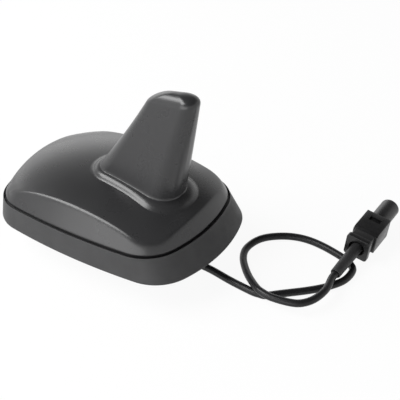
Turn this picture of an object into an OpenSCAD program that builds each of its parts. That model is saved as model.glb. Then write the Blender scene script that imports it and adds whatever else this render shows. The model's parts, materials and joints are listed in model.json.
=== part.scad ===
// Roof aerial: a low moulded cover with a swept fin, a flared rubber seal pad, a cast base with a
// hollow mounting neck, the amplifier and radiator boards inside, one thin coaxial cable and its plug.
// Sizes are in millimetres. +X points to the rear of the car, +Z up, z = 0 is the roof skin and the
// z axis runs down the middle of the mounting neck.

/* [Outline] */
// Length of the pad where it meets the roof
body_l = 104; // [90:1:120]
// Width of the pad where it meets the roof
body_w = 74.6; // [64:0.2:84]
// Radius of the front end seen from above
front_r = 72; // [60:1:90]
// Radius of the rear end seen from above
rear_r = 70; // [58:1:90]
// Radius of the long sides seen from above
side_r = 288; // [220:1:400]
// Radius of the two front corners
front_corner_r = 17.5; // [12:0.5:22]
// Radius of the two rear corners
rear_corner_r = 19.5; // [12:0.5:24]
// Where along the length the body is widest
widest_x = -4; // [-12:1:12]

/* [Seal pad] */
// Height of the pad's lip above the roof at the middle
pad_h = 10.2; // [7:0.2:14]
// How much the lip rises for each millimetre to the rear
pad_rise = 0.016; // [0:0.002:0.04]
// How far the lip stands in from the pad's foot at the front
lip_in_front = 0.5; // [0:0.1:3]
// How far the lip stands in from the pad's foot at the sides
lip_in_side = 1.8; // [0:0.1:4]
// How far the lip stands in from the pad's foot at the rear
lip_in_rear = 6; // [1:0.1:9]
// Width of the lip's top edge
lip_w = 0.4; // [0.3:0.05:1]
// Width of the dark groove between the lip and the cover
groove_w = 0.9; // [0.6:0.1:1.6]
// Depth of the groove
groove_d = 1.2; // [0.8:0.1:2]
// Thickness of the pad's floor under the base plate
pad_floor = 2.5; // [1.5:0.1:4]

/* [Cover] */
// Wall thickness of the cover and the fin
wall = 2.2; // [1.6:0.1:3]
// Height of the straight edge of the cover above the lip
edge_h = 1; // [0.5:0.1:2]
// Slope of the flank up to the crease, in degrees
flank_angle = 62; // [50:1:75]
// Height of the crown above the lip
crown_h = 14.1; // [10:0.1:20]
// Half length of the crown's ellipse
crown_l = 52.3; // [48:0.1:60]
// Half width of the crown's ellipse
crown_w = 43.6; // [40:0.1:52]
// Where along the length the crown is highest
crown_x = -1.5; // [-10:0.5:10]
// Softness of the crease between flank and crown
crease_soft = 1.4; // [0.4:0.1:3]

/* [Fin] */
// Distance from the fin's foot to the rear end of the body
foot_in = 20.1; // [17:0.1:26]
// Length of the fin at its foot
foot_l = 40.6; // [34:0.2:46]
// Half width of the fin at its foot
foot_w = 10.1; // [8:0.1:13]
// Radius of the front edge at the foot
foot_front_r = 7.8; // [5:0.1:9]
// Radius of the rear corners at the foot
foot_rear_r = 8.9; // [5:0.1:9.5]
// How far the top ring's front lies behind the foot's front
sweep_front = 25; // [18:0.2:30]
// How far the top ring's rear lies behind the foot's rear
sweep_rear = 8.5; // [4:0.1:12]
// Half width of the fin at its top ring
top_w = 5.3; // [4:0.1:8]
// Radius of the front edge at the top ring
top_front_r = 4.2; // [3:0.1:6]
// Radius of the rear corners at the top ring
top_rear_r = 5; // [3.5:0.1:7]
// Height of the top ring's rear end above the roof
top_z = 68.5; // [55:0.1:80]
// Rise of the top ring for each millimetre to the rear
top_rise = 0.18; // [0:0.01:0.5]
// Height of the rounded tip above the top ring
tip_h = 4.9; // [2:0.1:8]
// How far the tip's front edge curves back
tip_front = 9.8; // [6:0.2:12]
// How far the tip's rear edge curves forward
tip_rear = 9.6; // [5:0.1:10]
// Fullness of the tip's sides
tip_full = 2.6; // [2:0.1:4]
// Height of the fin's foot above the crown
foot_lift = 2.2; // [1:0.1:4]
// Width of the collar beside the fin's foot
collar_w = 3.4; // [2.6:0.1:6]
// Width of the collar behind the fin's foot
collar_rear_w = 5; // [3:0.1:7]
// Height of the collar above the crown
collar_h = 1.8; // [0.8:0.1:2]

/* [Base and neck] */
// Thickness of the cast base plate
plate_t = 3; // [2:0.1:4]
// Clearance between the base plate and the pad's wall
plate_gap = 0.3; // [0.1:0.05:0.6]
// Outer diameter of the mounting neck
neck_d = 14; // [12:0.5:18]
// Bore of the mounting neck
neck_bore = 9.5; // [8:0.5:12]
// Length of the mounting neck below the roof
neck_l = 14; // [10:0.5:20]
// Diameter of the neck's flange
neck_flange_d = 20; // [18:0.5:24]
// Width of the cable slot in the neck
slot_w = 4.2; // [3.8:0.1:5]
// Clearance round the neck in the plate and the pad
neck_gap = 0.1; // [0.05:0.05:0.3]

/* [Boards] */
// Length of the amplifier board
board_l = 70; // [60:1:74]
// Width of the amplifier board
board_w = 25; // [22:0.5:26]
// Thickness of the amplifier board
board_t = 1.6; // [1:0.1:2]
// Height of the posts the board stands on
post_h = 4; // [3:0.5:6]
// Thickness of the radiator board in the fin
fin_board_t = 1.2; // [0.8:0.1:1.6]
// Thickness of the copper on the radiator board
copper_t = 0.2; // [0.1:0.05:0.3]
// Width of the copper strip
strip_w = 2; // [1:0.5:3]

/* [Screws] */
// Distance between the cover bosses along the length
boss_pitch_x = 54; // [48:1:58]
// Distance between the cover bosses across the width
boss_pitch_y = 33; // [32:0.5:38]
// Diameter of the cover bosses
boss_d = 6.4; // [5.5:0.1:8]
// Thread diameter of all the screws
screw_d = 2.5; // [2:0.1:3]
// Clearance round a screw in its hole
screw_gap = 0.05; // [0.02:0.01:0.2]
// Head diameter of the cover screws
head_d = 5.6; // [4.5:0.1:6.5]
// Head height of the cover screws
head_h = 1.8; // [1.4:0.1:2.4]

/* [Cable] */
// Diameter of the coaxial cable
cable_d = 3.3; // [2.8:0.1:3.6]
// Clearance round the cable in bush, ferrule and boot
cable_gap = 0.1; // [0.05:0.05:0.3]

/* [Plug] */
// Length of the plug from its rear flange to its nose
plug_l = 34.4; // [30:0.2:40]
// Diameter of the plug's round nose
nose_d = 8.8; // [8:0.1:9.6]
// Width of the rear flange
flange_w = 11.2; // [10:0.1:13]
// Height of the rear flange
flange_h = 11; // [10:0.1:13]
// Thickness of the rear flange
flange_t = 2.6; // [2:0.1:3.2]
// Diameter of the round hole in the rear flange
flange_hole_d = 7.6; // [6.6:0.1:8.4]
// Width of the waist between flange and block
waist_w = 9.6; // [8.6:0.1:10.4]
// Height of the waist
waist_h = 8.6; // [8.2:0.1:9.4]
// Width of the middle block
block_w = 11.7; // [10.5:0.1:13]
// Height of the middle block
block_h = 9.9; // [9.2:0.1:12]
// Where the middle block starts
block_y0 = 6.8; // [5:0.2:9]
// Where the middle block ends
block_y1 = 20.8; // [16:0.2:23]
// Length of the sloped ridge along the block's rear edge
ridge_l = 2; // [1:0.1:3]
// Fall of the sloped ridge
ridge_h = 0.8; // [0.4:0.1:1.2]
// Width of the lock piece in the top of the block
lock_w = 5.2; // [4:0.1:6]
// Length of the lock piece
lock_l = 2.4; // [1.6:0.1:3.4]
// How far the lock piece lies below the block's top
lock_sunk = 0.9; // [0.3:0.1:1.5]
// Diameter of the cable boot
boot_d = 5.2; // [4.6:0.1:5.6]
// Length of the boot behind the plug
boot_l = 19.5; // [14:0.5:24]

/* [Hidden] */
$fn = 64;
eps = 0.01;

// The body's outline is eight arcs: the two ends, the two long sides and four corners between them.
// The value f goes from 0 at the roof to 1 at the pad's lip, and e counts on inwards from there.
function meet(c1, r1, c2, r2) =
    let (d = c2 - c1, g = norm(d), a = (r1 * r1 - r2 * r2 + g * g) / (2 * g),
        h = sqrt(r1 * r1 - a * a), u = d / g,
        p = c1 + a * u + h * [-u.y, u.x], q = c1 + a * u - h * [-u.y, u.x])
    p.y > q.y ? p : q;
function turn_to(c, p) = atan2(p.y - c.y, p.x - c.x);
function arc(c, r, a, b, n) = [for (i = [0 : n - 1]) let (t = a + (b - a) * i / n) c + r * [cos(t), sin(t)]];
function loop(half) = concat(half, [for (i = [len(half) - 2 : -1 : 1]) [half[i].x, -half[i].y]]);
function outline(f, e) =
    let (front = body_l / 2 - f * lip_in_front, rear = body_l / 2 - f * lip_in_rear,
        side = body_w / 2 - f * lip_in_side,
        cr = [rear - rear_r, 0], cf = [front_r - front, 0], cs = [widest_x, side - side_r],
        kr = meet(cr, rear_r - rear_corner_r, cs, side_r - rear_corner_r),
        kf = meet(cf, front_r - front_corner_r, cs, side_r - front_corner_r),
        a1 = turn_to(cr, kr), a2 = turn_to(cs, kr), a3 = turn_to(cs, kf), a4 = turn_to(cf, kf))
    loop(concat(arc(cr, rear_r - e, 0, a1, 4), arc(kr, rear_corner_r - e, a1, a2, 7),
        arc(cs, side_r - e, a2, a3, 8), arc(kf, front_corner_r - e, a3, a4, 7),
        arc(cf, front_r - e, a4, 180, 4), [[-front + e, 0]]));
ring_n = 60;

// A fin section: a round front edge, straight sides and two rear corners.
function section(x1, r1, x2, w, r2) =
    let (c1 = [x1 + r1, 0], c2 = [x2 - r2, w - r2], d = c2 - c1,
        a = atan2(d.y, d.x) + acos((r1 - r2) / norm(d)), n = [cos(a), sin(a)],
        p = c2 + r2 * n, q = c1 + r1 * n)
    loop(concat([for (i = [0 : 3]) [x2, (w - r2) * i / 4]], arc(c2, r2, 0, a, 7),
        [for (i = [0 : 7]) p + (q - p) * i / 8], arc(c1, r1, a, 180, 11), [[x1, 0]]));
function mix(a, b, k) = a + (b - a) * k;
foot_rear = body_l / 2 - foot_in;
foot_front = foot_rear - foot_l;
top_front = foot_front + sweep_front;
top_rear = foot_rear + sweep_rear;
function fin_at(k, e) =
    section(mix(foot_front, top_front, k) - e, mix(foot_front_r, top_front_r, k) + e,
        mix(foot_rear, top_rear, k) + e, mix(foot_w, top_w, k) + e, mix(foot_rear_r, top_rear_r, k) + e);

// Heights of the lip, the flank and the crown, with a soft crease where flank and crown meet.
function lip_z(x) = pad_h + pad_rise * x;
function crown_z(p) =
    pad_h + crown_h * sqrt(max(0.02, 1 - pow((p.x - crown_x) / crown_l, 2) - pow(p.y / crown_w, 2)));
function flank_z(p0, s) = lip_z(p0.x) + edge_h + tan(flank_angle) * s;
function soft_min(a, b, k) = abs(a - b) >= k ? min(a, b) : min(a, b) - pow(k - abs(a - b), 2) / (4 * k);

// The crease's distance in from the cover's edge at each point of the outline, found by short steps.
edge_in = lip_w + groove_w;
outer_edge = outline(1, edge_in);
one_in = outline(1, edge_in + 1);
inward = [for (i = [0 : ring_n - 1]) one_in[i] - outer_edge[i]];
function crease_at(p, n, s, k) =
    k == 0 ? s :
        crease_at(p, n, 0.5 * s + 0.5 * (crown_z(p + n * s) - flank_z(p, 0)) / tan(flank_angle), k - 1);
crease = [for (i = [0 : ring_n - 1]) crease_at(outer_edge[i], inward[i], 4, 9)];
function cover_ring(t) =
    [for (i = [0 : ring_n - 1]) let (p = outer_edge[i], s = t * crease[i], q = p + inward[i] * s)
        [q.x, q.y, soft_min(flank_z(p, s), crown_z(q), crease_soft)]];

// Rings over the crown from just inside the crease to the collar round the fin's foot.
crown_start = cover_ring(1.5);
function collar_at(k) =
    let (a = fin_at(0, k * collar_w), b = fin_at(0, k * collar_rear_w), mid = (foot_front + foot_rear) / 2)
    [for (i = [0 : ring_n - 1]) mix(a[i], b[i], max(0, min(1, (a[i].x - mid) / (foot_rear - mid))))];
collar_out = collar_at(1);
function crown_ring(k, drop) =
    [for (i = [0 : ring_n - 1]) let (q = mix([crown_start[i].x, crown_start[i].y], collar_out[i], k))
        [q.x, q.y, crown_z(q) - drop]];
function over_crown(line, z) = [for (p = line) [p.x, p.y, crown_z(p) + z]];
// The collar's profile: share of its width out from the foot and share of its height.
collar = [[1, 0], [0.86, 0.22], [0.65, 0.63], [0.42, 0.9], [0.2, 1.02], [0.05, 1.08]];
function top_plane(x) = top_z + top_rise * (x - top_rear);
function fin_ring(k, e, drop) =
    [for (p = fin_at(k, e)) [p.x, p.y, mix(crown_z(p) + foot_lift, top_plane(p.x), k) - drop]];

// The tip goes on in the slopes of the fin's front, rear and sides and closes over a quarter turn t.
function rise(x0, x1) = top_plane(x1) - crown_z([x0, 0]) - foot_lift;
lean_front = (top_front - foot_front) / rise(foot_front, top_front);
lean_rear = (top_rear - foot_rear) / rise(foot_rear, top_rear);
lean_side = (foot_w - top_w) / rise(foot_rear, top_rear);
tip_end = 0.08;
function tip_ring(t) =
    let (k = 1 - cos(t), h = tip_h * sin(t), side = pow(1 - pow(sin(t), tip_full), 1 / tip_full),
        g = (1 - lean_side * h / top_w) * mix(tip_end, 1, side))
    [for (p = section(top_front + lean_front * h + tip_front * k, top_front_r * g,
            top_rear + lean_rear * h - tip_rear * k, top_w * g, top_rear_r * g))
        [p.x, p.y, top_plane(p.x) + h]];

shelf_drop = groove_d;
function edge_ring(e, z) = [for (p = outline(1, e)) [p.x, p.y, lip_z(p.x) + z]];
cover_outer = concat([edge_ring(edge_in + 0.2, -shelf_drop), edge_ring(edge_in, 0.2 - shelf_drop)],
    [for (t = [0, 0.45, 0.82, 1, 1.18]) cover_ring(t)],
    [for (k = [0, 0.2, 0.45, 0.7, 0.9]) crown_ring(k, 0)],
    [for (c = collar) over_crown(collar_at(c.x), c.y * collar_h)],
    [for (k = [0, 0.35, 0.7, 1]) fin_ring(k, 0, 0)], [for (t = [20, 42, 60, 72, 82, 90]) tip_ring(t)]);

// Inner skin of the cover, a wall's thickness inside the outer one.
function inner_flank(t) =
    [for (i = [0 : ring_n - 1]) let (p = outer_edge[i], s = t * crease[i], q = p + inward[i] * (s + wall))
        [q.x, q.y, min(flank_z(p, s), crown_z(q) - wall)]];
cover_inner = concat([edge_ring(edge_in + wall, -shelf_drop)], [for (t = [0, 0.75, 1.1]) inner_flank(t)],
    [crown_ring(0.4, wall), crown_ring(0.8, wall)], [over_crown(fin_at(0, -wall), -wall)],
    [fin_ring(0.5, -wall, wall), fin_ring(1, -wall, wall)]);

// A closed skin from rings: the rings are joined in turn and each end is closed round its middle point.
function skin_faces(m, n) =
    [for (j = [0 : m - 2], i = [0 : n - 1], h = [0, 1]) let (k = (i + 1) % n)
        h == 0 ? [j * n + i, (j + 1) * n + i, j * n + k] : [j * n + k, (j + 1) * n + i, (j + 1) * n + k]];
function middle(ring) = [for (p = ring) 1] * ring / len(ring);
module skin(rings, n) {
    m = len(rings);
    polyhedron(points = concat([for (r = rings) each r], [middle(rings[0]), middle(rings[m - 1])]),
        faces = concat(skin_faces(m, n), [for (i = [0 : n - 1]) [m * n, i, (i + 1) % n]],
            [for (i = [0 : n - 1]) [m * n + 1, (m - 1) * n + (i + 1) % n, (m - 1) * n + i]]));
}
// Heights of the stack inside, from the pad's floor upwards.
pad_wall = edge_in + wall + 0.6;
plate_z = pad_floor;
plate_top = plate_z + plate_t;
board_z = plate_top + post_h;
board_top = board_z + board_t;
board_x = -2;
neck_flange_t = 1.5;
seal_t = 0.8;
post_xs = [board_x - board_l / 2 + 4, board_x + board_l / 2 - 4];
post_y = 9;
cable_x = -1.5;
fin_slots = [[foot_front + 16.7, foot_front + 20.7], [foot_rear - 11.9, foot_rear - 7.9]];

// Seal pad: a soft tray with a flared skirt outside, a lip and groove on top and a shelf for the cover.
function flat_ring(f, e, z) = [for (p = outline(f, e)) [p.x, p.y, z]];
pad_rings = [flat_ring(0, 0.7, 0), flat_ring(0, 0.15, 0.25), flat_ring(0, 0, 0.9), edge_ring(0, -0.3),
    edge_ring(0.1, -0.05), edge_ring(lip_w - 0.1, 0), edge_ring(lip_w, -0.15), edge_ring(lip_w, -groove_d),
    edge_ring(pad_wall, -groove_d), flat_ring(1, pad_wall, pad_floor)];
module seal_pad() {
    color([0.06, 0.06, 0.065]) difference() {
        skin(pad_rings, ring_n);
        translate([0, 0, -1]) cylinder(r = neck_d / 2 + 2 * neck_gap, h = pad_floor + 2);
        translate([0, 0, pad_floor - seal_t]) cylinder(r = neck_flange_d / 2 + 0.2, h = pad_floor);
    }
}

module neck_seal() {
    color([0.1, 0.1, 0.11]) translate([0, 0, pad_floor - seal_t]) difference() {
        cylinder(r = neck_flange_d / 2, h = seal_t);
        translate([0, 0, -1]) cylinder(r = neck_d / 2 + neck_gap, h = seal_t + 2);
    }
}

// Cover and fin are one moulding: the outer skin, the inner skin and four screw bosses under the crown.
cover_rings = concat([for (i = [len(cover_inner) - 1 : -1 : 0]) cover_inner[i]], cover_outer);
function boss_tip(x, y) = crown_z([x, y]) - wall / 2;
module at_bosses() {
    for (x = [-1, 1], y = [-1, 1]) translate([x * boss_pitch_x / 2, y * boss_pitch_y / 2, 0]) children();
}
module cover() {
    color([0.075, 0.075, 0.08]) difference() {
        union() {
            skin(cover_rings, ring_n);
            for (x = [-1, 1], y = [-1, 1]) {
                bx = x * boss_pitch_x / 2;
                by = y * boss_pitch_y / 2;
                translate([bx, by, plate_top]) cylinder(d = boss_d, h = boss_tip(bx, by) - plate_top);
            }
        }
        at_bosses() translate([0, 0, plate_top - 1]) cylinder(r = screw_d / 2 + screw_gap, h = 10);
    }
}

// Base plate: a flat casting with a raised rim, four board posts and ribs, over the neck's flange.
rim_w = 1.6;
rim_h = 2;
module base_plate() {
    e = pad_wall + plate_gap;
    color([0.55, 0.56, 0.58]) difference() {
        union() {
            translate([0, 0, plate_z]) linear_extrude(plate_t) polygon(outline(1, e));
            translate([0, 0, plate_top - eps]) linear_extrude(rim_h + eps) difference() {
                polygon(outline(1, e));
                polygon(outline(1, e + rim_w));
            }
            for (x = post_xs, y = [-post_y, post_y]) translate([x, y, plate_top - eps])
                cylinder(d = 6, h = post_h + eps);
            for (y = [-22, 22]) translate([-30, y - 0.6, plate_top - eps]) cube([60, 1.2, rim_h + eps]);
            for (x = [-16, 16]) translate([x - 0.6, -22, plate_top - eps]) cube([1.2, 44, rim_h + eps]);
        }
        translate([0, 0, plate_z - 1]) cylinder(r = neck_d / 2 + neck_gap, h = plate_t + 2);
        translate([0, 0, plate_z - 1]) cylinder(r = neck_flange_d / 2 + neck_gap, h = neck_flange_t + 1);
        for (x = post_xs, y = [-post_y, post_y]) translate([x, y, plate_top])
            cylinder(r = screw_d / 2 + screw_gap, h = post_h + 1);
        at_bosses() {
            translate([0, 0, plate_z - 1]) cylinder(d = head_d + 0.4, h = head_h + 1);
            translate([0, 0, plate_z]) cylinder(r = screw_d / 2 + 0.2, h = plate_t + 1);
        }
    }
}

// Mounting neck: a hollow stud with a flange, open at its end, with a slot for the cable.
slot_top = -neck_l + 4.8;
module mounting_neck() {
    r = neck_d / 2;
    b = neck_bore / 2;
    f = neck_flange_d / 2;
    color([0.72, 0.72, 0.74]) difference() {
        rotate_extrude() polygon([[b, -neck_l], [r - 0.8, -neck_l], [r, -neck_l + 0.8], [r, plate_z], [f, plate_z],
            [f, plate_z + neck_flange_t], [r, plate_z + neck_flange_t], [r, plate_top], [b, plate_top]]);
        translate([0, -slot_w / 2, -neck_l - 1]) cube([r + 1, slot_w, slot_top + neck_l + 1]);
    }
}

bush_low = -3.5;
module cable_bush() {
    color([0.13, 0.13, 0.13]) difference() {
        union() {
            translate([0, 0, bush_low]) cylinder(r = neck_bore / 2 - 0.05, h = plate_top - bush_low);
            translate([0, 0, plate_top]) cylinder(r = neck_bore / 2 + 1, h = 0.8);
        }
        translate([cable_x, 0, bush_low - 1]) cylinder(r = cable_d / 2 + cable_gap, h = 20);
    }
}

// Pan-head screw pointing up from its head at z = 0, with a cross recess.
module screw(head, height, length) {
    difference() {
        union() {
            cylinder(d = head, h = height);
            cylinder(d = screw_d, h = height + length);
        }
        for (a = [0, 90]) rotate([0, 0, a]) translate([-head * 0.32, -0.3, -1]) cube([head * 0.64, 0.6, 1.8]);
    }
}
module cover_screws() {
    color([0.62, 0.63, 0.65]) at_bosses() translate([0, 0, plate_z]) screw(head_d, head_h, 8.5);
}
module board_screws() {
    color([0.66, 0.66, 0.68]) for (x = post_xs, y = [-post_y, post_y]) translate([x, y, board_top + 1.3])
        mirror([0, 0, 1]) screw(4.4, 1.3, board_t + 3);
}

module amplifier_board() {
    color([0.05, 0.22, 0.12]) difference() {
        translate([board_x - board_l / 2, -board_w / 2, board_z]) cube([board_l, board_w, board_t]);
        for (x = post_xs, y = [-post_y, post_y]) translate([x, y, board_z - 1])
            cylinder(r = screw_d / 2 + 0.15, h = board_t + 2);
        for (s = fin_slots) translate([s[0] - 0.1, -fin_board_t / 2 - 0.05, board_z - 1])
            cube([s[1] - s[0] + 0.2, fin_board_t + 0.1, board_t + 2]);
        translate([cable_x, 0, board_z - 1]) cylinder(r = 0.55, h = board_t + 2);
    }
}

// Amplifier parts under the can.
can_x = -27;
can_l = 20;
can_w = 20;
can_h = 5;
can_wall = 0.4;
vent_r = 0.8;
vent_xs = [5, 10, 15];
vent_y = 4;
module shield_can() {
    color([0.75, 0.75, 0.76]) difference() {
        translate([can_x, -can_w / 2, board_top]) cube([can_l, can_w, can_h]);
        translate([can_x + can_wall, can_wall - can_w / 2, board_top - 1])
            cube([can_l - 2 * can_wall, can_w - 2 * can_wall, can_h + 1 - can_wall]);
        for (x = vent_xs, y = [-vent_y, vent_y]) translate([can_x + x, y, board_top + 1])
            cylinder(r = vent_r, h = can_h);
    }
}
module amplifier_chip() {
    color([0.05, 0.05, 0.05]) {
        translate([-16, -2.5, board_top + 0.2]) cube([5, 5, 1.2]);
        for (k = [0 : 3], s = [0, 1]) translate([-15.5 + k * 1.2, s == 0 ? -3.4 : 2.4, board_top])
            cube([0.5, 1, 0.4]);
    }
}
filter_x = -24.5;
filter_l = 6;
filter_h = 2.2;
module band_filter() {
    color([0.8, 0.78, 0.7]) translate([filter_x, -filter_l / 2, board_top]) cube([filter_l, filter_l, filter_h]);
}
capacitor = [2, 1.2, 1];
capacitor_places = [[-24, 5.5], [-20, 5.5], [-16, 5.5], [-24, -6.5], [-20, -6.5], [-16, -6.5], [-12, 6],
    [2.5, 7], [8, 7], [21.5, 7], [21.5, -7]];
module capacitors() {
    color([0.62, 0.5, 0.36]) for (p = capacitor_places) translate([p.x, p.y, board_top]) cube(capacitor);
}

// Radiator board standing in the fin, its copper strip and the spring contact at its foot. The board is
// kept clear of the cable's soldered core where a short body brings the two together.
core_r = 0.5;
core_end = 0.7;
core_gap = 0.2;
solder_r = 1.3;
solder_h = 0.6;
fin_board_in_front = 12.4;
fin_board_in_rear = 3.6;
fin_board_front = foot_front + fin_board_in_front;
fin_board_rear = foot_rear - fin_board_in_rear;
fin_board_step = 25;
fin_board_head = [top_rear - 4.6, top_z - 6.5];
fin_board_brow = [top_front + 4.2, top_z - 11.5];
fin_board_chest = [fin_board_front + 1, 35];
module fin_board() {
    b = board_z;
    t = board_top;
    color([0.12, 0.3, 0.16]) difference() {
        translate([0, fin_board_t / 2, 0]) rotate([90, 0, 0]) linear_extrude(fin_board_t)
            polygon([[fin_board_front, t], [fin_slots[0][0], t], [fin_slots[0][0], b], [fin_slots[0][1], b],
                [fin_slots[0][1], t], [fin_slots[1][0], t], [fin_slots[1][0], b], [fin_slots[1][1], b],
                [fin_slots[1][1], t], [fin_board_rear, t], [fin_board_rear, fin_board_step], fin_board_head,
                fin_board_brow, fin_board_chest]);
        translate([cable_x, 0, t - 1]) cylinder(r = solder_r + core_gap, h = 1 + core_end + core_gap);
    }
}
strip_pitch = 4;
strip_rows = 8;
strip_low = 24;
contact_h = 6;
contact_x = fin_board_front + 9.3;
feed_x = contact_x + 0.5;
function strip_l(i) = fin_board_front + 3.8 + max(0, strip_low + strip_pitch * i - 34) * 0.7;
function strip_r(i) = fin_board_rear - 3.3 + i * 0.85;
module fin_conductor() {
    color([0.72, 0.42, 0.2]) translate([0, -fin_board_t / 2, 0]) rotate([90, 0, 0]) linear_extrude(copper_t) {
        translate([feed_x, board_top + contact_h]) square([strip_w, strip_low - board_top - contact_h + strip_w]);
        for (i = [0 : strip_rows - 1]) {
            z = strip_low + strip_pitch * i;
            left = i == 0 ? feed_x : strip_l(i);
            translate([left, z]) square([strip_r(i) - left, strip_w]);
            if (i < strip_rows - 1) {
                x0 = i % 2 == 0 ? strip_r(i) - strip_w : strip_l(i);
                x1 = i % 2 == 0 ? strip_r(i + 1) : strip_l(i + 1) + strip_w;
                translate([x0, z]) square([x1 - x0, strip_pitch + strip_w]);
            }
        }
    }
}
module fin_contact() {
    y = -fin_board_t / 2;
    color([0.8, 0.66, 0.3]) {
        translate([contact_x, y - 0.5, board_top]) cube([3, 0.5, contact_h]);
        translate([contact_x, y - 3.5, board_top]) cube([3, 3.5, 0.5]);
    }
}

// Cable end at the board: a soldered ferrule under it and the core through it.
ferrule_h = 1.5;
module cable_ferrule() {
    color([0.78, 0.76, 0.6]) translate([cable_x, 0, board_z - ferrule_h]) difference() {
        cylinder(r = 2.3, h = ferrule_h);
        translate([0, 0, -1]) cylinder(r = 0.55, h = ferrule_h + 2);
    }
}
module cable_core() {
    color([0.78, 0.48, 0.25]) translate([cable_x, 0, board_z - ferrule_h]) {
        cylinder(r = core_r, h = ferrule_h + board_t + core_end);
        translate([0, 0, ferrule_h + board_t]) cylinder(r1 = solder_r, r2 = core_r, h = solder_h);
    }
}

// The plug stands on the end of the cable. Its own axes: +Y towards the nose, +Z to its lock side.
plug_at = [94.1, 44.3, -7.6];
plug_pitch = 2.5;
plug_roll = 7;
cable_in = 9;
function plug_point(p) =
    let (y = p.y * cos(plug_pitch) - p.z * sin(plug_pitch), z = p.y * sin(plug_pitch) + p.z * cos(plug_pitch))
    plug_at + [p.x * cos(plug_roll) + z * sin(plug_roll), y, z * cos(plug_roll) - p.x * sin(plug_roll)];
module at_plug() {
    translate(plug_at) rotate([plug_pitch, plug_roll, 0]) children();
}
module along_y(y) {
    translate([0, y, 0]) rotate([-90, 0, 0]) children();
}

// Route of the cable: up in the neck, out of its slot, along the ground, once round and over itself.
low = -neck_l + cable_d / 2 + 0.05;
route = [[cable_x, 0, board_z - ferrule_h], [cable_x, 0, 5], [cable_x, 0, 1], [cable_x, 0, -4.3], [-0.9, 0, -7.4],
    [0.8, 0, -10], [3.4, 0, -11.7], [6.5, 0, low], [16, 0.4, low], [30, 1.3, low], [44, 1.7, low], [57, 0.1, low],
    [67.7, -0.7, low], [71.3, -0.4, low], [74.5, 0.5, low], [79.3, 5.1, low], [87.7, 13.2, low], [93.3, 19.9, low],
    [97.2, 27.1, low], [97.6, 34.2, low], [95.4, 37.8, low], [89.9, 40.6, low], [77.7, 43, low], [68.1, 42.6, low],
    [59.8, 38.9, low], [53.1, 32.1, low], [51.1, 23.2, low], [54, 15.3, -11.9], [61.8, 6, -10.3], [70.1, -0.8, -8.8],
    [74, -2.4, -8.6], [79, -3, -8.5], [86.7, -1.7, -8.4], [91.2, 0.8, -8.4], [94.3, 6, -8.4], [95.4, 13.6, -8.4],
    plug_point([0, -boot_l - 3, 0]), plug_point([0, -boot_l, 0]), plug_point([0, -12, 0]), plug_point([0, -4, 0]),
    plug_point([0, cable_in, 0])];
function spline(a, b, c, d, t) =
    0.5 * (2 * b + (c - a) * t + (2 * a - 5 * b + 4 * c - d) * t * t + (3 * b - a - 3 * c + d) * t * t * t);
route_n = len(route);
cable_path = concat([for (i = [0 : route_n - 2]) let (a = route[max(0, i - 1)], b = route[i], c = route[i + 1],
    d = route[min(route_n - 1, i + 2)], m = norm(c - b) > 4.5 ? 2 : 1) each [for (k = [0 : m - 1])
    spline(a, b, c, d, k / m)]], [route[route_n - 1]]);
function unit(v) = v / norm(v);
path_n = len(cable_path);
function tangent(i) = unit(cable_path[min(path_n - 1, i + 1)] - cable_path[max(0, i - 1)]);
function carry(v, t) = unit(v - (v * t) * t);
function sides(i, v, out) =
    i == path_n ? out : let (w = carry(v, tangent(i))) sides(i + 1, w, concat(out, [w]));
cable_sides = sides(0, [0, 1, 0], []);
module antenna_cable() {
    color([0.05, 0.05, 0.05]) skin([for (i = [0 : path_n - 1]) let (n = cable_sides[i], b = cross(tangent(i), n))
        [for (k = [0 : 7]) cable_path[i] + cable_d / 2 * (cos(22.5 + 45 * k) * n + sin(22.5 + 45 * k) * b)]], 8);
}

module plug_boot() {
    color([0.06, 0.06, 0.06]) at_plug() difference() {
        union() {
            along_y(-boot_l) cylinder(d1 = boot_d - 0.5, d2 = boot_d, h = boot_l - 6);
            along_y(-6) cylinder(d = boot_d, h = 10);
        }
        along_y(-boot_l - 1) cylinder(r = cable_d / 2 + cable_gap, h = boot_l + 10);
    }
}

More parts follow.
